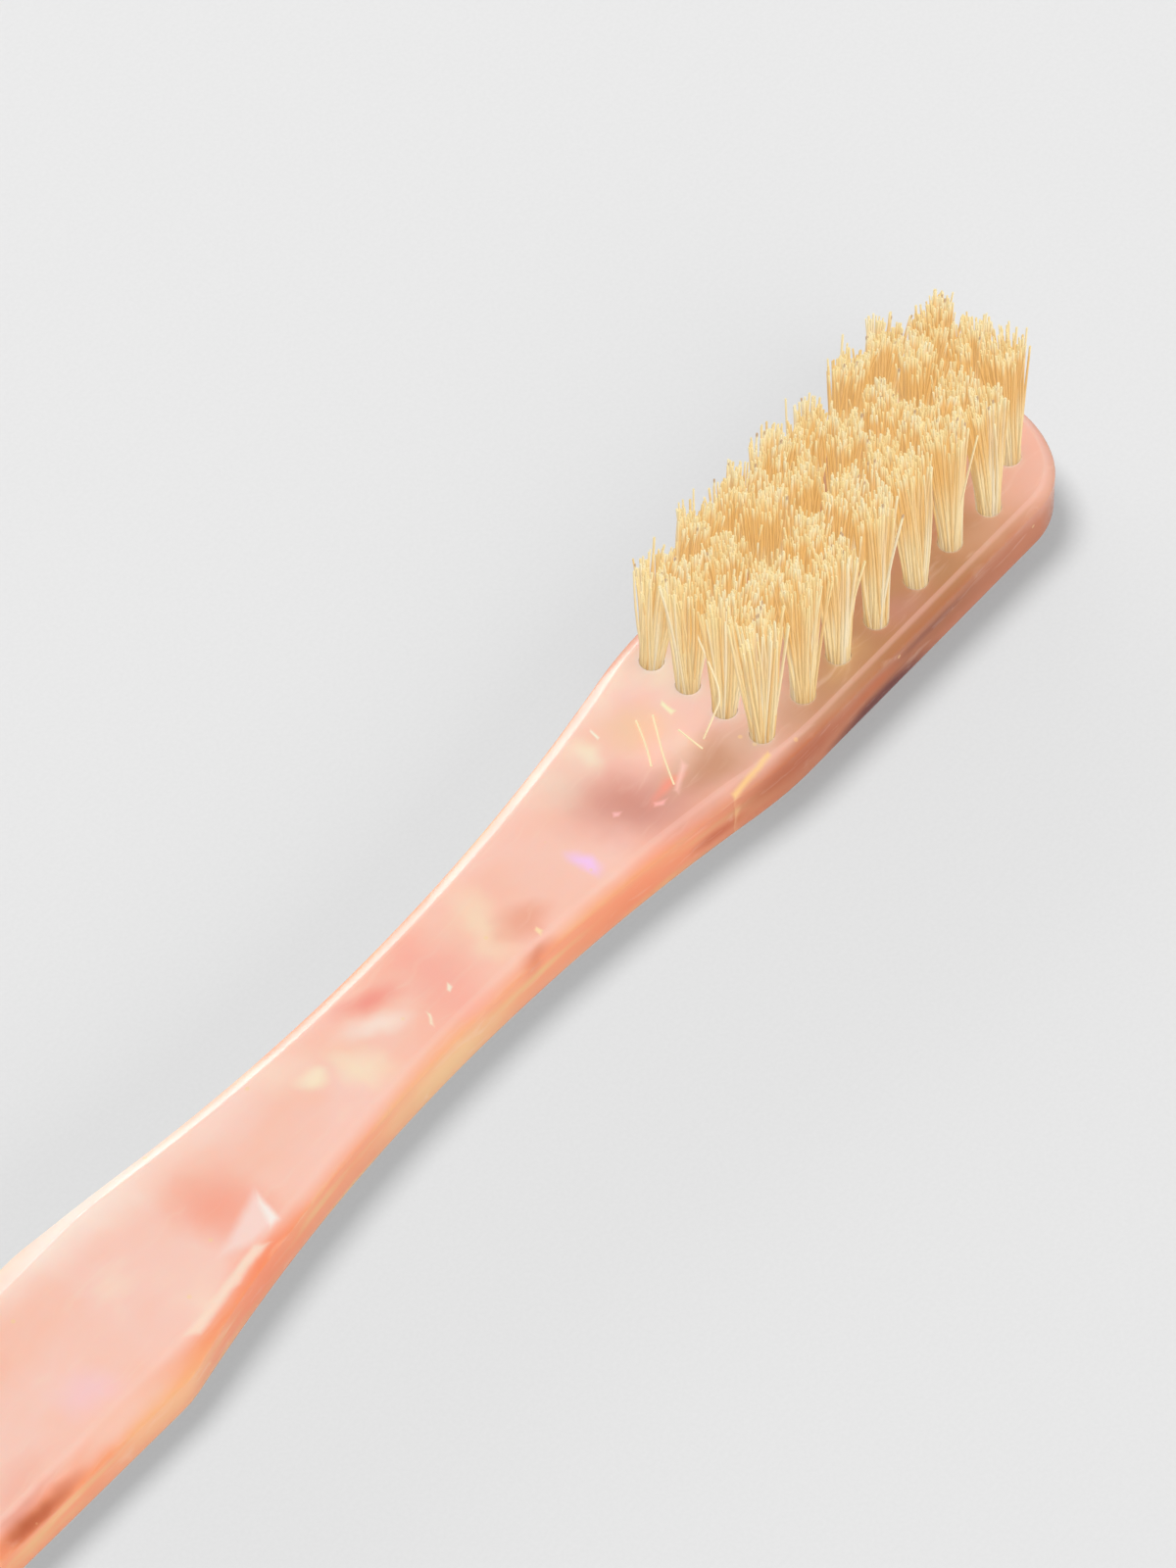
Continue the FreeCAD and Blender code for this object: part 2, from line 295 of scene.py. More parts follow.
# Depths below the top face and distances behind the tip where tones come and go, in millimetres.
LAYERS_START, LAYERS_FULL = 0.04, 0.7
RIDGE_START, RIDGE_FULL, RIDGE_FADE, RIDGE_END = 0.22, 0.06, 0.01, 0.002
TUFT_SHADE_END, TUFT_SHADE_FADE = 3.0, 8.0

# Levels of the noise where tones change, and shares of the tones.
BAND_STOPS = (0.3, 0.44, 0.58, 0.72)
GRAIN_STOPS = (0.3, 0.7)
THREAD_RANGE = (0.55, 0.8)
THREAD_DISTORTION = 0.6
THREAD_SHARE = 0.2
FLECK_RADIUS = 0.1
FLECK_CHANCE = 0.2
FLECK_SHARE = 0.45
HEAD_BROWN_SHARE = 0.95
RIDGE_HIGHLIGHT_SHARE = 0.3

# Tones of a hair: places along it from the mouth of the hole to the tip, levels of tint, shares.
SHAFT_STOPS = (0.0, 0.15, 0.75, 1.0)
KIND_STOPS = (0.0, 0.45, 1.0)
KIND_SHARE = 0.55
DEEP_START, DEEP_FULL, DEEP_FADE = 0.3, 0.7, 0.88
DEEP_SHARE = 0.8
DARK_TIP_RANGE = (0.965, 0.99)
DARK_TIP_TINT = 0.93
DARK_TIP_SHARE = 0.55
HAIR_CLEARNESS = 0.25

# Clouds in the acetate: name, middle and reach in millimetres, turn in degrees, screen colour,
# strength, softness.
CLOUDS = [
    # The tan clouds under, by and before the tufts are painted shade that the tufts throw on the top
    # face.
    ("painted shade under the tufts", (75.0, 0.0, 4.4), (15.0, 6.5, 2.0), 0, (190, 130, 100), 0.9, 1.0),
    ("painted shade beside the tufts", (71.5, -5.0, 4.4), (15.5, 4.0, 2.0), -2, (190, 138, 98), 0.9, 0.8),
    ("mauve haze by the tufts", (72.8, -4.9, 4.4), (3.4, 1.8, 2.0), 0, (204, 142, 126), 0.6, 1.0),
    ("gold haze by the tufts", (67.7, -4.5, 4.4), (3.2, 1.6, 2.0), 0, (222, 174, 122), 0.7, 1.0),
    ("pale haze by the tufts", (80.0, -5.1, 4.4), (3.4, 1.6, 2.0), 0, (226, 174, 142), 0.4, 1.0),
    ("rosy tip", (85.0, -4.5, 4.4), (6.0, 5.0, 2.0), 10, (240, 184, 160), 0.75, 1.0),
    ("golden cloud", (56.2, 2.2, 4.4), (3.9, 2.4, 2.0), -25, (246, 204, 164), 0.65, 1.0),
    ("cream cloud", (53.1, 2.8, 4.4), (2.1, 1.2, 2.0), -101, (253, 236, 208), 0.8, 1.0),
    ("pale haze", (50.6, 2.8, 4.4), (3.2, 3.4, 2.0), -86, (243, 220, 200), 0.75, 1.0),
    ("painted shade before the tufts", (57.0, -3.2, 4.4), (6.0, 3.4, 2.0), 0, (196, 136, 100), 0.8, 1.0),
    ("mauve cloud", (52.1, -1.6, 4.4), (6.2, 4.2, 2.0), -55, (212, 144, 128), 0.85, 1.0),
    ("rose thread", (54.5, -2.2, 4.4), (2.4, 0.6, 2.0), -176, (250, 160, 140), 0.8, 1.0),
    ("cream band", (40.2, 0.0, 4.4), (4.9, 1.9, 2.0), -104, (255, 224, 194), 0.75, 1.0),
    ("amber smudge", (41.8, -1.9, 4.4), (2.6, 1.8, 2.0), -27, (236, 166, 138), 0.75, 1.0),
    ("rust dash", (40.4, -3.9, 4.4), (2.3, 0.9, 2.0), -5, (214, 132, 98), 0.7, 1.0),
    ("rose area", (36.0, -0.2, 4.4), (5.7, 3.0, 2.0), -102, (255, 178, 162), 0.8, 1.0),
    ("fold shade", (32.1, 1.7, 4.4), (3.4, 1.2, 2.0), -21, (246, 158, 142), 0.9, 1.0),
    ("fold light", (31.0, 0.3, 4.4), (3.0, 1.1, 2.0), -29, (255, 228, 214), 0.9, 1.0),
    ("cream patch", (28.7, -1.1, 4.4), (3.1, 1.7, 2.0), -77, (255, 230, 200), 0.8, 1.0),
    ("cream spot", (26.0, 0.5, 4.4), (1.6, 0.9, 2.0), -24, (255, 236, 204), 0.9, 0.9),
    ("pale haze on the grip", (25.3, 2.3, 4.4), (3.8, 2.2, 2.0), -44, (255, 224, 204), 0.6, 1.0),
    ("coral shade", (16.1, -0.9, 4.4), (4.4, 3.4, 2.0), -89, (252, 160, 134), 0.7, 1.0),
    ("lilac cloud", (2.1, -3.1, 4.4), (3.1, 2.2, 2.0), -39, (255, 206, 210), 0.7, 1.0),
    # Painted light: the cream glow along the left edge, where the low edge lamp shines in.
    ("painted glow along the left edge", (8.0, 6.2, 4.2), (22.0, 4.2, 2.2), -9, (255, 238, 226), 0.95, 1.0),
    ("coral wall", (48.8, -4.9, 2.4), (7.2, 2.4, 2.8), -12, (252, 146, 102), 0.95, 0.9),
    ("honey wall", (32.5, -4.0, 2.2), (9.5, 2.2, 2.8), 1, (250, 200, 146), 0.95, 0.9),
    ("bright coral wall", (15.2, -5.4, 2.9), (6.8, 2.4, 3.2), -175, (255, 142, 98), 0.95, 0.9),
    ("peach wall", (5.4, -6.6, 2.6), (7.0, 2.2, 3.0), 177, (253, 186, 138), 0.95, 0.9),
    ("brown wall", (73.3, -6.2, 2.7), (11.0, 2.4, 2.0), -3, (176, 102, 60), 0.95, 0.8),
    ("amber streak", (61.8, -6.0, 3.0), (6.0, 2.6, 1.6), -6, (188, 98, 54), 1.0, 0.8),
    ("rust glow on the head", (68.1, -6.1, 2.8), (3.4, 1.8, 1.0), 0, (196, 102, 50), 0.9, 0.9),
    ("dark streak on the head", (73.7, -6.1, 2.9), (4.7, 1.6, 0.6), 0, (140, 70, 44), 0.75, 0.9),
    ("rust streak", (55.0, -5.3, 1.9), (3.3, 1.6, 0.8), -8, (204, 100, 60), 0.8, 0.9),
    ("rose haze at the grip", (-5.0, -4.0, 4.4), (5.0, 1.7, 2.0), 0, (247, 186, 166), 0.7, 1.0),
    ("pale bevel of the grip", (2.4, -5.7, 3.85), (8.0, 1.6, 0.75), 0, (253, 206, 188), 0.85, 0.9),
    ("rose band on the bevel", (-5.4, -5.2, 4.2), (4.0, 0.8, 0.6), 0, (228, 156, 136), 0.8, 0.9),
    ("terracotta streak", (-5.3, -5.7, 3.6), (4.7, 1.0, 0.7), -4, (190, 100, 66), 0.95, 0.9),
    # A dark plum band low on the near wall of the head, towards the floor.
    ("dark plum band low on the head wall", (69.1, -6.2, 0.9), (6.1, 2.4, 1.5), 1, (112, 38, 26), 1.0, 0.7),
    ("lilac glint", (47.1, -1.7, 4.4), (1.6, 0.7, 2.0), -89, (253, 206, 250), 0.85, 1.0),
]

# Flat flakes in the acetate: name, screen colour, width of the soft rim, corners in millimetres.
FLAKES = [
    ("pearl flake", (255, 218, 208), 0.8,
     [(12.8, -2.9), (15.5, -4.3), (17.9, -4.2), (18.7, -1.2)]),
    ("pearl flake crest", (255, 238, 230), 0.5,
     [(17.6, -2.2), (16.6, -4.1), (17.9, -4.1), (18.6, -1.4)]),
    ("pearl sliver", (255, 220, 200), 0.4,
     [(7.8, -4.7), (9.3, -5.5), (16.7, -4.6), (15.5, -3.8)]),
    ("rose sparkle", (255, 206, 194), 0.5,
     [(54.21, -2.53), (54.23, -3.22), (56.50, -2.27), (56.63, -1.32)]),
    ("rose speck", (255, 190, 182), 0.3,
     [(52.61, -2.52), (53.31, -2.96), (54.00, -2.70), (52.98, -2.09)]),
    ("rose crumb", (255, 194, 190), 0.3,
     [(50.62, -1.14), (51.07, -1.48), (51.61, -1.27), (50.98, -0.71)]),
    ("cream chip", (255, 240, 200), 0.25,
     [(58.60, 1.81), (58.43, 0.68), (58.97, 0.68), (59.11, 2.07)]),
    ("white chip", (255, 244, 224), 0.2,
     [(54.65, 3.72), (54.45, 2.85), (54.86, 2.90), (54.95, 3.90)]),
    ("gold thread", (252, 210, 150), 0.3,
     [(56.18, -5.65), (59.97, -5.49), (60.09, -4.97), (56.40, -5.04)]),
    ("pale chip", (255, 236, 214), 0.2,
     [(35.49, -1.28), (35.49, -1.71), (36.05, -1.54), (36.09, -0.94)]),
    ("pale crumb", (255, 234, 206), 0.2,
     [(33.06, -2.13), (33.12, -2.64), (33.76, -1.71), (33.69, -1.19)]),
    ("amber chip", (255, 222, 178), 0.2,
     [(41.75, -2.58), (41.71, -3.18), (42.27, -3.01), (42.14, -2.41)]),
]


def add_cloud(tree, place, colour, middle, reach, turn, tone, strength, softness):
    """Lay one soft-edged cloud of another tone over the colour."""
    inside = put(tree, "ShaderNodeMapping", {"Vector": place}, vector_type="TEXTURE")
    rotation = (0.0, 0.0, math.radians(turn))
    set_sockets(inside, {"Location": middle, "Rotation": rotation, "Scale": reach})
    distance = vector_calc(tree, "LENGTH", inside.outputs[0])
    share = times(tree, rise(tree, distance, 1.0, 1.0 - softness), strength)
    return mixed(tree, share, colour, rgb(*tone))


def add_flake(tree, place, colour, tone, rim, corners):
    """Lay a flake over the colour; its corners go round it the way that +X turns to +Y."""
    depth = rim
    for first, second in zip(corners, corners[1:] + corners[:1]):
        run = (Vector(second) - Vector(first)).normalized()
        inward = Vector((-run.y, run.x, 0.0))
        offset = inward.xy.dot(Vector(first))
        side = minus(tree, vector_calc(tree, "DOT_PRODUCT", place, inward), offset)
        depth = calc(tree, "MINIMUM", depth, side)
    return mixed(tree, rise(tree, depth, 0.0, rim), colour, rgb(*tone))


def marbled_acetate():
    """Cast acetate: cloudy pearl over coral and amber layers that show as streaks on the edges,
    deepened on the side walls by painted shade.
    """
    material, tree, shader = new_material("marbled_acetate")
    place = put(tree, "ShaderNodeTexCoord").outputs["Object"]
    place = scaled(tree, place, 1 / MM)

    def drift(scale, reach):
        """The place, shifted by noise up to half the reach either way."""
        shift = noise(tree, place, scale, detail=2.0).outputs["Color"]
        shift = vector_calc(tree, "SUBTRACT", shift, MID_GREY)
        return vector_calc(tree, "ADD", place, vector_calc(tree, "MULTIPLY", shift, reach))

    flowing = drift(FLOW_SCALE, FLOW_REACH)
    clouds = stretched_noise(tree, flowing, CLOUD_SCALES, detail=3.0)
    colour = ramp(tree, clouds, BAND_STOPS, (SALMON, PEACH, PINK, CREAM))

    streaks = stretched_noise(tree, flowing, STREAK_SCALES, detail=2.0)
    layers = ramp(tree, streaks, BAND_STOPS, (AMBER, CORAL, DEEP_CORAL, AMBER))
    flow_x = put(tree, "ShaderNodeSeparateXYZ", {"Vector": flowing}).outputs["X"]
    on_head = rise(tree, flow_x, neck_x + FRONT_FLARE / 2, head_end_x + ROW_PITCH)
    layers = mixed(tree, times(tree, on_head, HEAD_BROWN_SHARE), layers, BROWN)
    # Painted shade of the tufts: tan over the top face of the tuft field, fading out towards the tip.
    in_shaded_field = rise(tree, flow_x, head_end_x - ROW_PITCH, head_end_x + 3 * ROW_PITCH)
    behind_tip = rise(tree, flow_x, tip_x - TUFT_SHADE_END, tip_x - TUFT_SHADE_FADE)
    colour = mixed(tree, times(tree, in_shaded_field, behind_tip), colour, TUFT_SHADE_TAN)
    # The side walls take the coral and amber layers: partly the acetate's own layers, partly painted
    # shade and the deeper colour of light through the thick edge.
    height = put(tree, "ShaderNodeSeparateXYZ", {"Vector": place}).outputs["Z"]
    wall_layers_and_shade = rise(tree, height, thickness - LAYERS_START, thickness - LAYERS_FULL)
    colour = mixed(tree, wall_layers_and_shade, colour, layers)

    wavering = drift(WAVER_SCALE, WAVER_REACH)
    for name, *looks in CLOUDS:
        colour = add_cloud(tree, wavering, colour, *looks)
        colour.node.label = name
    # Painted highlight: a lighter line along the rounded upper edge.
    above_wall = rise(tree, height, thickness - RIDGE_START, thickness - RIDGE_FULL)
    below_top = rise(tree, height, thickness - RIDGE_END, thickness - RIDGE_FADE)
    ridge_highlight = times(tree, above_wall, below_top)
    colour = mixed(tree, times(tree, ridge_highlight, RIDGE_HIGHLIGHT_SHARE), colour, PINK)
    trembling = drift(TREMBLE_SCALE, TREMBLE_REACH)
    for name, tone, rim, corners in FLAKES:
        colour = add_flake(tree, trembling, colour, tone, rim, corners)
        colour.node.label = name

    # Pearl that shimmers in fine lengthwise threads, and a few gold flecks.
    grain = stretched_noise(tree, wavering, THREAD_SCALES, 4.0, distortion=THREAD_DISTORTION)
    threads = rise(tree, grain, *THREAD_RANGE)
    colour = mixed(tree, times(tree, threads, THREAD_SHARE), colour, CREAM)
    cells = put(tree, "ShaderNodeTexVoronoi", {"Vector": place, "Scale": FLECK_SCALE})
    fleck = rise(tree, cells.outputs["Distance"], FLECK_RADIUS, FLECK_RADIUS / 2)
    chosen = put(tree, "ShaderNodeSeparateColor", {"Color": cells.outputs["Color"]}).outputs["Red"]
    fleck = times(tree, fleck, calc(tree, "GREATER_THAN", chosen, 1 - FLECK_CHANCE))
    colour = mixed(tree, times(tree, fleck, FLECK_SHARE), colour, GOLD)

    tree.links.new(colour, shader.inputs["Base Color"])
    smears = stretched_noise(tree, place, SMEAR_SCALES, detail=4.0)
    rough = put(tree, "ShaderNodeMapRange", {"Value": smears, "To Min": 0.1, "To Max": 0.24})
    tree.links.new(rough.outputs["Result"], shader.inputs["Roughness"])
    waves = stretched_noise(tree, place, WAVE_SCALES, detail=2.0)
    bump = put(tree, "ShaderNodeBump", {"Height": waves, "Strength": 0.25, "Distance": 0.12 * MM})
    tree.links.new(bump.outputs["Normal"], shader.inputs["Normal"])
    set_sockets(shader, {
        "IOR": 1.49,
        "Specular IOR Level": 0.35,
        "Subsurface Weight": 0.5,
        "Subsurface Radius": (1.0, 0.55, 0.4),
        "Subsurface Scale": 1.8 * MM,
        "Coat Weight": 0.05,
        "Coat Roughness": 0.05,
    })
    return material


def natural_hair():
    """Bleached boar hair: amber root, cream shaft, now and then a darker cut tip."""
    material, tree, shader = new_material("natural_hair")

    def stored(name):
        return put(tree, "ShaderNodeAttribute", attribute_name=name).outputs["Fac"]

    along, tint, inner = stored("along"), stored("tint"), stored("inner")
    shaft = ramp(tree, along, SHAFT_STOPS, (HAIR_ROOT, HAIR_SHAFT, HAIR_SHAFT, HAIR_END))
    # The tint holds each hair's own tone together with the painted shade of its lock.
    kind = ramp(tree, tint, KIND_STOPS, (HAIR_AMBER, HAIR_CREAM, HAIR_PALE))
    colour = mixed(tree, KIND_SHARE, shaft, kind)
    # Inside the field less light comes down to the shafts, after it has gone through other hairs.
    deep = times(tree, rise(tree, along, DEEP_START, DEEP_FULL), rise(tree, along, 1.0, DEEP_FADE))
    colour = mixed(tree, times(tree, times(tree, deep, inner), DEEP_SHARE), colour, HAIR_DEEP)
    is_dark = calc(tree, "GREATER_THAN", tint, DARK_TIP_TINT)
    dark_tip = times(tree, rise(tree, along, *DARK_TIP_RANGE), is_dark)
    colour = mixed(tree, times(tree, dark_tip, DARK_TIP_SHARE), colour, HAIR_DARK)
    tree.links.new(colour, shader.inputs["Base Color"])
    set_sockets(shader, {"Roughness": 0.4})
    # Part of the light goes on through the hair.
    through = put(tree, "ShaderNodeBsdfTranslucent", {"Color": colour})
    parts = {0: HAIR_CLEARNESS, 1: shader.outputs["BSDF"], 2: through.outputs["BSDF"]}
    both = put(tree, "ShaderNodeMixShader", parts)
    surface = next(node for node in tree.nodes if node.type == "OUTPUT_MATERIAL")
    tree.links.new(both.outputs[0], surface.inputs["Surface"])
    return material


def anchor_metal():
    """Drawn flat wire of brass with fine lengthwise scratches."""
    material, tree, shader = new_material("anchor_brass")
    place = scaled(tree, put(tree, "ShaderNodeTexCoord").outputs["Object"], 1 / MM)
    scratches = stretched_noise(tree, place, SCRATCH_SCALES, detail=3.0)
    colour = ramp(tree, scratches, GRAIN_STOPS, (BRASS_DARK, BRASS_LIGHT))
    tree.links.new(colour, shader.inputs["Base Color"])
    rough = put(tree, "ShaderNodeMapRange", {"Value": scratches, "To Min": 0.22, "To Max": 0.45})
    tree.links.new(rough.outputs["Result"], shader.inputs["Roughness"])
    set_sockets(shader, {"Metallic": 1.0})
    return material


# Handle.

handle_low, handle_high = (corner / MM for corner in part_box("handle"))
tip_x = handle_high.x
tail_x = handle_low.x
grip_half = GRIP_WIDTH / 2
tail_half = TAIL_WIDTH / 2
neck_half = NECK_WIDTH / 2
thickness = handle_high.z


def tuft_foot(name):
    """Middle of a tuft where it leaves the handle, in millimetres."""
    low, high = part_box(name)
    middle = (low + high) / (2 * MM)
    return Vector((middle.x, middle.y, thickness))


tuft_feet = {name: tuft_foot(name) for name in tuft_names}
field_low = Vector(min(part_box(name)[0][axis] for name in tuft_names) / MM for axis in range(3))
field_high = Vector(max(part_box(name)[1][axis] for name in tuft_names) / MM for axis in range(3))
head_half = max(foot.y for foot in tuft_feet.values()) + SIDE_MARGIN
head_end_x = min(foot.x for foot in tuft_feet.values()) - ROOT_MARGIN
neck_x = head_end_x - FRONT_FLARE
shoulder_x = neck_x - REAR_FLARE
corner_y = head_half - TIP_CORNER_RADIUS
corner_x = tip_x - TIP_RADIUS + math.sqrt((TIP_RADIUS - TIP_CORNER_RADIUS) ** 2 - corner_y ** 2)
tail_centre_x = tail_x + tail_half


def soft_least(first, second, blend):
    """The lesser of two values, rounded over where they meet."""
    overlap = max(blend - abs(first - second), 0) / blend
    return min(first, second) - overlap * overlap * blend / 4


def soft_most(first, second, blend):
    return -soft_least(-first, -second, blend)


def flare_half(x, run, rise_height):
    """Half width on the hollow arc that leaves the neck, at a place along the handle."""
    radius = (run * run + rise_height * rise_height) / (2 * rise_height)
    reach = min(abs(x - neck_x), radius)
    return neck_half + radius - math.sqrt(radius * radius - reach * reach)


def corner_blend(radius, run, rise_height):
    """How far a rounded corner of that radius reaches into the two lines that meet there."""
    angle = 2 * math.atan2(rise_height, run)
    return radius * math.tan(angle / 2) * math.tan(angle)


def half_width(x):
    """Half width of the blank between the tip arc and the tail arc."""
    if x > neck_x:
        rise_height = head_half - neck_half
        blend = corner_blend(HEAD_CORNER_RADIUS, FRONT_FLARE, rise_height)
        return soft_least(head_half, flare_half(x, FRONT_FLARE, rise_height), blend)
    rise_height = grip_half - neck_half
    blend = corner_blend(SHOULDER_RADIUS, REAR_FLARE, rise_height)
    share = (shoulder_x - x) / (shoulder_x - tail_centre_x)
    grip_line = grip_half + (tail_half - grip_half) * share
    return soft_least(grip_line, flare_half(x, REAR_FLARE, rise_height), blend)


def half_outline():
    """One long side of the blank, from the middle of the tip to the middle of the tail."""
    points = []
    tip_steps, tail_steps, side_step = 28, 20, 0.8
    bend = math.atan2(corner_y, corner_x - tip_x + TIP_RADIUS)
    for step in range(tip_steps):
        angle = step / tip_steps * math.pi / 2
        if angle < bend:
            x, y, radius = tip_x - TIP_RADIUS, 0, TIP_RADIUS
        else:
            x, y, radius = corner_x, corner_y, TIP_CORNER_RADIUS
        points.append((x + radius * math.cos(angle), y + radius * math.sin(angle)))
    count = math.ceil((corner_x - tail_centre_x) / side_step)
    for step in range(count + 1):
        x = corner_x + (tail_centre_x - corner_x) * step / count
        points.append((x, half_width(x)))
    for step in range(1, tail_steps + 1):
        angle = step / tail_steps * math.pi / 2
        points.append((tail_centre_x - tail_half * math.sin(angle), tail_half * math.cos(angle)))
    return points


def rounded_corner(before, corner, after, softness, steps):
    """Points of a soft bend that takes the place of a corner."""
    reach_share = 0.45
    back, ahead = before - corner, after - corner
    start = corner + back.normalized() * min(softness, back.length * reach_share)
    end = corner + ahead.normalized() * min(softness, ahead.length * reach_share)
    points = []
    for step in range(steps + 1):
        share = step / steps
        points.append(start.lerp(corner, share).lerp(corner.lerp(end, share), share))
    return points


def edge_profile(width, depth):
    """Cross-section of the edge as (inset, height), from the underside round to the top face."""
    inner, steps = 3.0, 5
    corners = [
        Vector((BOTTOM_BEVEL + inner, 0.0)),
        Vector((BOTTOM_BEVEL, 0.0)),
        Vector((0.0, BOTTOM_BEVEL)),
        Vector((0.0, thickness - depth)),
        Vector((width, thickness)),
        Vector((width + inner, thickness)),
    ]
    profile = []
    softness = (BOTTOM_SOFTNESS, BOTTOM_SOFTNESS, EDGE_SOFTNESS, EDGE_SOFTNESS)
    for before, corner, after, reach in zip(corners, corners[1:], corners[2:], softness):
        profile += rounded_corner(before, corner, after, reach, steps)
    support = Vector((EDGE_SOFTNESS / 3, 0.0))
    return [profile[0] + support] + profile + [profile[-1] + support]


def bevel_size(x, half):
    """Width and depth of the top bevel at a place along the handle with that half width."""
    share = min(max((head_end_x + ROW_PITCH - x) / (2 * ROW_PITCH), 0), 1)
    plain_width = HEAD_BEVEL_WIDTH + (NECK_BEVEL_WIDTH - HEAD_BEVEL_WIDTH) * share
    if not tail_centre_x < x < neck_x:
        return plain_width, TOP_BEVEL_DEPTH
    proud = half - (grip_half - GRIP_BEVEL_WIDTH)
    slope = GRIP_BEVEL_DEPTH / GRIP_BEVEL_WIDTH
    width = soft_most(plain_width, proud, BEVEL_BLEND)
    depth = soft_most(TOP_BEVEL_DEPTH, proud * slope, BEVEL_BLEND)
    return width, depth


def add_object(name, data):
    """A new object in the scene."""
    thing = bpy.data.objects.new(name, data)
    bpy.context.scene.collection.objects.link(thing)
    return thing


def link_mesh(name, bm, material):
    """A finished piece in metres from a mesh that was built in millimetres."""
    bmesh.ops.scale(bm, vec=(MM, MM, MM), verts=bm.verts)
    mesh = bpy.data.meshes.new(name)
    bm.to_mesh(mesh)
    bm.free()
    mesh.materials.append(material)
    return add_object(name, mesh)


def make_handle(material):
    """The whole blank: an edge section swept round the outline, with tuft holes in the top face."""
    side = half_outline()
    outline = side + [(x, -y) for x, y in reversed(side[1:-1])]
    bm = bmesh.new()
    rings = []
    for place, (x, y) in enumerate(outline):
        before = Vector(outline[place - 1])
        after = Vector(outline[(place + 1) % len(outline)])
        run = (after - before).normalized()
        outward = Vector((run.y, -run.x))
        ring = []
        for inset, height in edge_profile(*bevel_size(x, abs(y))):
            ring.append(bm.verts.new((x - outward.x * inset, y - outward.y * inset, height)))
        rings.append(ring)
    for ring, following in zip(rings, rings[1:] + rings[:1]):
        for step in range(len(ring) - 1):
            bm.faces.new((ring[step], ring[step + 1], following[step + 1], following[step]))
    bm.faces.new([ring[0] for ring in rings])

    loops = [[ring[-1] for ring in rings]]
    for foot in tuft_feet.values():
        loops.append(drill_hole(bm, foot))
    fill_between(bm, loops)
    bmesh.ops.recalc_face_normals(bm, faces=bm.faces)
    for face in bm.faces:
        face.smooth = True
    return link_mesh("handle_acetate", bm, material)


def fill_between(bm, loops):
    """Flat face inside the first loop of corners and outside the others."""
    corners, owners, edges = [], [], []
    for owner, loop in enumerate(loops):
        first = len(corners)
        corners += loop
        owners += [owner] * len(loop)
        edges += [(first + step, first + (step + 1) % len(loop)) for step in range(len(loop))]
    inside_edges, tolerance = 1, 1e-6
    points = [corner.co.xy for corner in corners]
    filled = delaunay_2d_cdt(points, edges, [], inside_edges, tolerance)
    triangles, sources = filled[2], filled[3]
    for triangle in triangles:
        numbers = [sources[number][0] for number in triangle]
        in_one_hole = len({owners[number] for number in numbers}) == 1 and owners[numbers[0]] > 0
        if not in_one_hole:
            bm.faces.new([corners[number] for number in numbers])


def drill_hole(bm, foot):
    """Wall and floor of one blind hole; returns the corners of its mouth."""
    sides = 20
    mouth, floor = [], []
    for step in range(sides):
        angle = 2 * math.pi * step / sides
        x = foot.x + HOLE_RADIUS * math.cos(angle)
        y = foot.y + HOLE_RADIUS * math.sin(angle)
        mouth.append(bm.verts.new((x, y, thickness)))
        floor.append(bm.verts.new((x, y, thickness - HOLE_DEPTH)))
    for step in range(sides):
        after = (step + 1) % sides
        bm.faces.new((mouth[step], floor[step], floor[after], mouth[after]))
    bm.faces.new(floor)
    for step in range(sides):
        bm.edges.get((mouth[step - 1], mouth[step])).smooth = False
    return mouth


# Tufts.

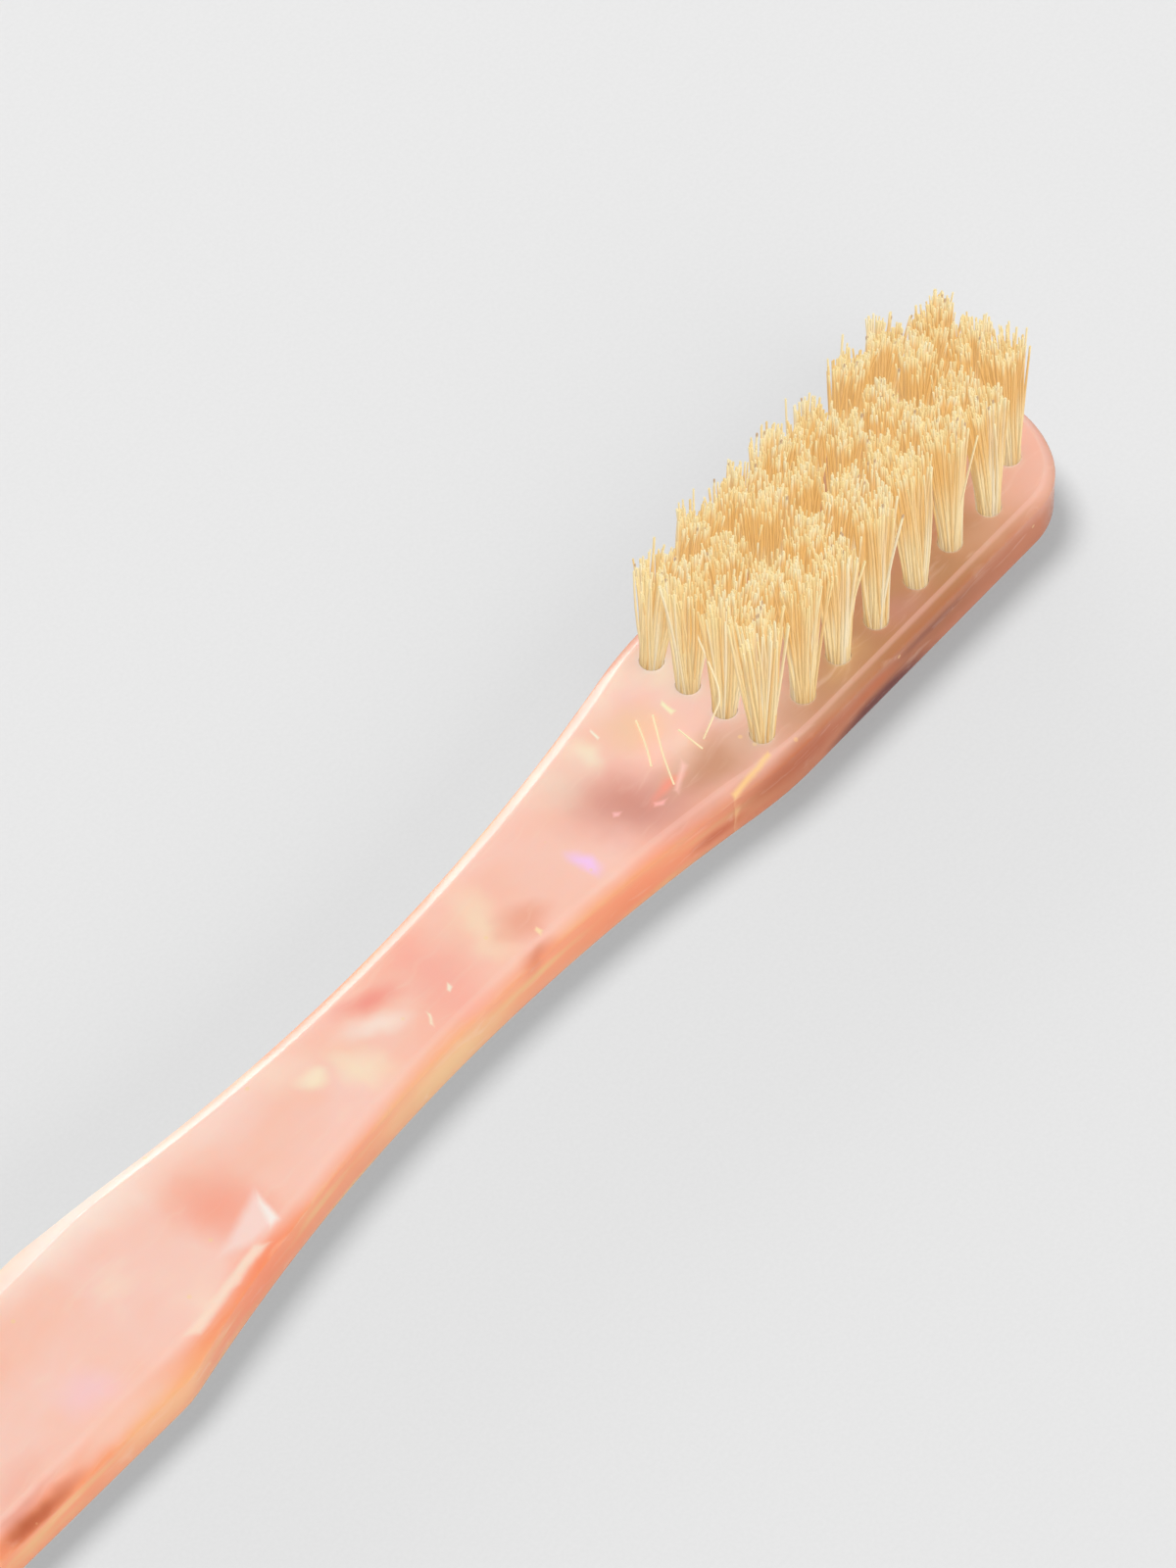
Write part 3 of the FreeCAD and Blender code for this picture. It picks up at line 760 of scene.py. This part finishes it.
def tuft_tree(material):
    """Hairs that rise out of one hole and spread to the crown of their tuft."""
    tree = bpy.data.node_groups.new("tuft_of_hairs", "GeometryNodeTree")
    tree.interface.new_socket(name="Hairs", in_out="OUTPUT", socket_type="NodeSocketGeometry")
    sockets = {}
    wanted = [
        ("Foot", "NodeSocketVector"),
        ("Mouth radius", "NodeSocketFloat"),
        ("Crown half size", "NodeSocketVector"),
        ("Hair length", "NodeSocketFloat"),
        ("Foot depth", "NodeSocketFloat"),
        ("Unevenness", "NodeSocketFloat"),
        ("Wander", "NodeSocketFloat"),
        ("Lean", "NodeSocketVector"),
        ("Bend", "NodeSocketFloat"),
        ("Hair radius", "NodeSocketFloat"),
        ("Field middle", "NodeSocketVector"),
        ("Field half size", "NodeSocketVector"),
        ("Hair count", "NodeSocketInt"),
        ("Seed", "NodeSocketInt"),
    ]
    for name, kind in wanted:
        socket = tree.interface.new_socket(name=name, in_out="INPUT", socket_type=kind)
        sockets[name] = socket.identifier
    given = put(tree, "NodeGroupInput").outputs

    index = put(tree, "GeometryNodeInputIndex").outputs[0]
    hair = calc(tree, "FLOOR", calc(tree, "DIVIDE", plus(tree, index, 0.5), HAIR_STEPS))
    step = minus(tree, index, times(tree, hair, HAIR_STEPS))

    def chance(low, high, draw):
        """A random value for each hair; the number of the draw keeps its values apart."""
        seed = plus(tree, given["Seed"], draw)
        inputs = {"Min_001": low, "Max_001": high, "ID": hair, "Seed": seed}
        node = put(tree, "FunctionNodeRandomValue", inputs, data_type="FLOAT")
        return port(node.outputs, "Value_001")

    def random_shift(draw_x, draw_y):
        shift = {"X": chance(-1.0, 1.0, draw_x), "Y": chance(-1.0, 1.0, draw_y)}
        return put(tree, "ShaderNodeCombineXYZ", shift).outputs[0]

    # Hairs stand on a spiral that fills the mouth of the hole evenly.
    golden_angle = math.pi * (3 - math.sqrt(5))
    share = calc(tree, "DIVIDE", plus(tree, hair, 0.5), given["Hair count"])
    reach = calc(tree, "SQRT", share)
    turn = plus(tree, times(tree, hair, golden_angle), times(tree, given["Seed"], SPIRAL_TURN))
    ahead = times(tree, reach, calc(tree, "COSINE", turn))
    aside = times(tree, reach, calc(tree, "SINE", turn))
    spoke = put(tree, "ShaderNodeCombineXYZ", {"X": ahead, "Y": aside}).outputs[0]
    root = scaled(tree, spoke, given["Mouth radius"])
    crown = vector_calc(tree, "MULTIPLY", spoke, given["Crown half size"])
    # A few hairs stray further from their places than the others.
    strays = calc(tree, "GREATER_THAN", chance(0.0, 1.0, 18), 1 - STRAY_CHANCE)
    wander = times(tree, given["Wander"], plus(tree, times(tree, strays, STRAY_EXTRA), 1.0))
    crown = vector_calc(tree, "ADD", crown, scaled(tree, random_shift(11, 12), wander))
    crown = vector_calc(tree, "ADD", crown, given["Lean"])
    # How deep inside the tuft field a hair ends, from 0 at its sides to 1.
    end = vector_calc(tree, "ADD", crown, given["Foot"])
    off_middle = vector_calc(tree, "SUBTRACT", end, given["Field middle"])
    off_middle = vector_calc(tree, "ABSOLUTE", off_middle)
    margin = vector_calc(tree, "SUBTRACT", given["Field half size"], off_middle)
    margin = put(tree, "ShaderNodeSeparateXYZ", {"Vector": margin}).outputs
    inner = rise(tree, calc(tree, "MINIMUM", margin["X"], margin["Y"]), 0.0, INNER_REACH)
    # Neighbours gather into locks, which end at their own heights.
    lock = noise(tree, scaled(tree, end, LOCK_SCALE), 1.0, detail=1.0).outputs
    gather = vector_calc(tree, "SUBTRACT", lock["Color"], MID_GREY)
    crown = vector_calc(tree, "ADD", crown, vector_calc(tree, "MULTIPLY", gather, LOCK_GATHER))
    # Lower locks take darker, amber tints and taller ones paler: painted shade between the locks,
    # half and half with a tint that differs from hair to hair.
    lock_painted_shade = rise(tree, lock["Fac"], *LOCK_SHADE_RANGE)
    shade = times(tree, plus(tree, lock_painted_shade, chance(0.0, 1.0, 17)), 0.5)
    ragged = times(tree, minus(tree, lock["Fac"], LOCK_LEVEL), LOCK_RAGGEDNESS)

    # The first step is down in the hole, the second at its mouth, the last at the cut tip.
    climb = calc(tree, "DIVIDE", minus(tree, step, 1.0), HAIR_STEPS - 2.0)
    climb = calc(tree, "MAXIMUM", climb, 0.0)
    ends = calc(tree, "MINIMUM", plus(tree, chance(*END_RANGE, 13), ragged), END_LIMIT)
    length = plus(tree, given["Hair length"], times(tree, given["Unevenness"], ends))
    below = times(tree, calc(tree, "LESS_THAN", step, 0.5), given["Foot depth"])
    height = minus(tree, times(tree, climb, length), below)
    aim = put(tree, "ShaderNodeMix", data_type="VECTOR")
    feed(tree, port(aim.inputs, "Factor_Float"), calc(tree, "POWER", climb, SPREAD_POWER))
    feed(tree, port(aim.inputs, "A_Vector"), root)
    feed(tree, port(aim.inputs, "B_Vector"), crown)
    bow = times(tree, calc(tree, "SINE", times(tree, climb, math.pi)), given["Bend"])
    sway = scaled(tree, random_shift(14, 15), bow)
    place = vector_calc(tree, "ADD", port(aim.outputs, "Result_Vector"), sway)
    lift = put(tree, "ShaderNodeCombineXYZ", {"Z": height}).outputs[0]
    place = vector_calc(tree, "ADD", place, lift)
    place = vector_calc(tree, "ADD", place, given["Foot"])

    count = times(tree, given["Hair count"], HAIR_STEPS)
    flow = put(tree, "GeometryNodePoints", {"Count": count, "Position": place}).outputs[0]
    thinning = minus(tree, 1.0, times(tree, climb, TIP_THINNING))
    girth = times(tree, given["Hair radius"], chance(*GIRTH_RANGE, 16))
    girth = times(tree, girth, thinning)
    kept = {"along": climb, "tint": shade, "girth": girth, "hair": hair, "inner": inner}
    for name, value in kept.items():
        store = put(tree, "GeometryNodeStoreNamedAttribute", data_type="FLOAT", domain="POINT")
        feed(tree, store.inputs["Geometry"], flow)
        feed(tree, store.inputs["Name"], name)
        feed(tree, store.inputs["Value"], value)
        flow = store.outputs[0]

    def stored(name):
        node = put(tree, "GeometryNodeInputNamedAttribute", {"Name": name}, data_type="FLOAT")
        return node.outputs["Attribute"]

    grouped = {"Points": flow, "Curve Group ID": stored("hair")}
    strands = put(tree, "GeometryNodePointsToCurves", grouped).outputs[0]
    circle = {"Resolution": HAIR_SIDES, "Radius": 1.0}
    section = put(tree, "GeometryNodeCurvePrimitiveCircle", circle).outputs[0]
    swept = {"Curve": strands, "Profile Curve": section, "Scale": stored("girth"), "Fill Caps": True}
    tubes = put(tree, "GeometryNodeCurveToMesh", swept).outputs[0]
    real = put(tree, "GeometryNodeRealizeInstances", {"Geometry": tubes}).outputs[0]
    looks = {"Geometry": real, "Material": material}
    dressed = put(tree, "GeometryNodeSetMaterial", looks).outputs[0]
    result = put(tree, "NodeGroupOutput")
    tree.links.new(dressed, result.inputs[0])
    return tree, sockets


def tuft_ahead(foot):
    """Place of a tuft along the field, from -1 in the row at the root to 1 in the tip row."""
    feet = tuft_feet.values()
    root_x, last_x = min(other.x for other in feet), max(other.x for other in feet)
    return (2 * foot.x - root_x - last_x) / (last_x - root_x)


def tuft_spread(foot):
    """The row at the root has room in front of it and spreads wider than the others."""
    return 1 + ROOT_ROW_SPREAD * max(-tuft_ahead(foot), 0) ** ROOT_ROW_POWER


def tuft_lean(number, foot):
    """Each tuft leans a little its own way.

    The outer ones also lean inward, so that the field keeps upright sides.
    """
    across = foot.y / max(other.y for other in tuft_feet.values())
    ahead = max(tuft_ahead(foot), 0)
    own_x = TUFT_LEAN * math.sin(number * LEAN_TURN_X)
    own_y = TUFT_LEAN * math.sin(number * LEAN_TURN_Y + LEAN_START_Y)
    lean_x = own_x - INWARD_LEAN * ahead ** INWARD_POWER
    lean_y = own_y - INWARD_LEAN * across ** INWARD_POWER
    return lean_x, lean_y, 0.0


def plain_mesh(holder, name):
    """The mesh that a helper object makes, without the helper."""
    graph = bpy.context.evaluated_depsgraph_get()
    mesh = bpy.data.meshes.new_from_object(holder.evaluated_get(graph))
    bpy.data.objects.remove(holder)
    mesh.name = name
    return mesh


def make_tuft(name, number, tree, sockets):
    """The hairs of one tuft as a plain mesh, over the solid that the frame holds for them."""
    low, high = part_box(name)
    foot = tuft_feet[name]
    crown = (high - low) / (2 * MM) * CROWN_SHARE * tuft_spread(foot)
    shorter = TUFT_STEP * (0.5 + 0.5 * math.sin(number * LENGTH_TURN))
    values = {
        "Foot": foot,
        "Mouth radius": HOLE_RADIUS - HAIR_RADIUS,
        "Crown half size": (crown.x, crown.y, 0.0),
        "Hair length": high.z / MM - thickness - shorter,
        "Foot depth": HAIR_FOOT_DEPTH,
        "Unevenness": HAIR_UNEVENNESS,
        "Wander": HAIR_WANDER,
        "Lean": tuft_lean(number, foot),
        "Bend": HAIR_BEND,
        "Hair radius": HAIR_RADIUS,
        "Field middle": (field_low + field_high) / 2,
        "Field half size": (field_high - field_low) / 2,
        "Hair count": HAIRS_PER_TUFT,
        "Seed": number,
    }
    holder = add_object("hair_maker", bpy.data.meshes.new("hair_maker"))
    modifier = holder.modifiers.new("hairs", "NODES")
    modifier.node_group = tree
    for key, value in values.items():
        modifier[sockets[key]] = value
    mesh = plain_mesh(holder, "hairs_" + name.removeprefix("tuft_"))
    for vertex in mesh.vertices:
        vertex.co *= MM
    for face in mesh.polygons:
        # The cut ends stay flat.
        face.use_smooth = len(face.vertices) < HAIR_SIDES
    piece = add_object(mesh.name, mesh)
    # Light scatters on from hair to hair, so hairs don't shut each other off from it.
    piece.visible_diffuse = False
    piece.visible_shadow = False
    return piece


def make_loose_hairs(material):
    """A few cut hairs that lie on the neck in front of the tufts."""
    curve = bpy.data.curves.new("loose_hairs", "CURVE")
    curve.dimensions = "3D"
    curve.bevel_depth = LOOSE_HAIR_RADIUS * MM
    curve.bevel_resolution = 1
    curve.resolution_u = 4
    curve.use_fill_caps = True
    for hair in LOOSE_HAIRS:
        strand = curve.splines.new("NURBS")
        strand.points.add(len(hair) - 1)
        strand.order_u = 3
        strand.use_endpoint_u = True
        for point, place in zip(strand.points, hair):
            point.co = (*(Vector(place) * MM), 1.0)
    mesh = plain_mesh(add_object("hair_maker", curve), "loose_hairs")
    for name, value in (("along", 0.9), ("tint", 1.0), ("inner", 0.0)):
        stored = mesh.attributes.new(name, "FLOAT", "POINT").data
        stored.foreach_set("value", [value] * len(mesh.vertices))
    mesh.materials.clear()
    mesh.materials.append(material)
    piece = add_object("loose_hairs", mesh)
    piece.visible_shadow = False
    return piece


# Floor, light and camera.

def make_floor():
    """A pale sheet under the brush."""
    half = 3.0
    corners = [(-half, -half, 0), (half, -half, 0), (half, half, 0), (-half, half, 0)]
    mesh = bpy.data.meshes.new("floor")
    mesh.from_pydata(corners, [], [(0, 1, 2, 3)])
    floor = add_object("floor", mesh)
    material, tree, shader = new_material("pale_paper")
    place = put(tree, "ShaderNodeTexCoord").outputs["Object"]
    grain = noise(tree, place, FLOOR_GRAIN_SCALE, detail=1.0).outputs["Fac"]
    colour = ramp(tree, grain, GRAIN_STOPS, (PAPER_DARK, PAPER_LIGHT))
    tree.links.new(colour, shader.inputs["Base Color"])
    set_sockets(shader, {"Roughness": 0.9, "Specular IOR Level": 0.0})
    mesh.materials.append(material)


def turn_to(thing, back):
    """Turn a lamp or a camera so that it looks the opposite way to a direction."""
    thing.rotation_mode = "QUATERNION"
    thing.rotation_quaternion = back.to_track_quat("Z", "Y")


def add_sun(name, azimuth, elevation, strength, spread):
    """A soft parallel lamp from an azimuth round +Z from +X and an elevation, in degrees."""
    lamp = bpy.data.lights.new(name, "SUN")
    lamp.energy = strength
    lamp.angle = math.radians(spread)
    around, up = math.radians(azimuth), math.radians(elevation)
    flat = math.cos(up)
    back = Vector((math.cos(around) * flat, math.sin(around) * flat, math.sin(up)))
    turn_to(add_object(name, lamp), back)


def add_strip(name, place, width, height, power):
    """A flat lamp at a place in metres that faces the brush."""
    lamp = bpy.data.lights.new(name, "AREA")
    lamp.shape = "RECTANGLE"
    lamp.size = width
    lamp.size_y = height
    lamp.energy = power
    holder = add_object(name, lamp)
    holder.location = place
    turn_to(holder, Vector(place) - VIEW_TARGET)


def light_studio():
    world = bpy.data.worlds.new("studio")
    world.use_nodes = True
    background = world.node_tree.nodes["Background"]
    set_sockets(background, {"Color": (1.0, 1.0, 1.0, 1.0), "Strength": 0.43})
    bpy.context.scene.world = world
    add_sun("key_light", azimuth=100, elevation=68, strength=1.38, spread=28)
    add_sun("front_fill", azimuth=255, elevation=12, strength=1.6, spread=50)
    add_strip("edge_light", place=(0.25, 0.55, 0.09), width=0.8, height=0.12, power=1.5)


def place_camera():
    lens = bpy.data.cameras.new("camera")
    lens.sensor_width = SENSOR_SIZE
    lens.lens = VIEW_LENS
    lens.clip_start = 0.05
    lens.clip_end = 20.0
    camera = add_object("camera", lens)
    flat = math.cos(VIEW_ELEVATION)
    across, along = math.sin(VIEW_AZIMUTH) * flat, -math.cos(VIEW_AZIMUTH) * flat
    back = Vector((across, along, math.sin(VIEW_ELEVATION)))
    camera.location = VIEW_TARGET + back * VIEW_DISTANCE
    turn_to(camera, back)
    bpy.context.scene.camera = camera


# Assembly.

bpy.context.scene.view_settings.view_transform = "Standard"

handle = make_handle(marbled_acetate())
# The floor takes its shade from the lamps alone, without a tinge of the acetate.
handle.visible_diffuse = False
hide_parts("handle")
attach(handle, "root")

hair_material = natural_hair()
hair_tree, hair_sockets = tuft_tree(hair_material)
for number, name in enumerate(tuft_names, start=1):
    tuft = make_tuft(name, number, hair_tree, hair_sockets)
    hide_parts(name)
    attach(tuft, "root")
bpy.data.node_groups.remove(hair_tree)

loose_hairs = make_loose_hairs(hair_material)
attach(loose_hairs, "root")

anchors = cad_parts["tuft_anchors"]
anchors.data.materials.clear()
anchors.data.materials.append(anchor_metal())

make_floor()
light_studio()
place_camera()
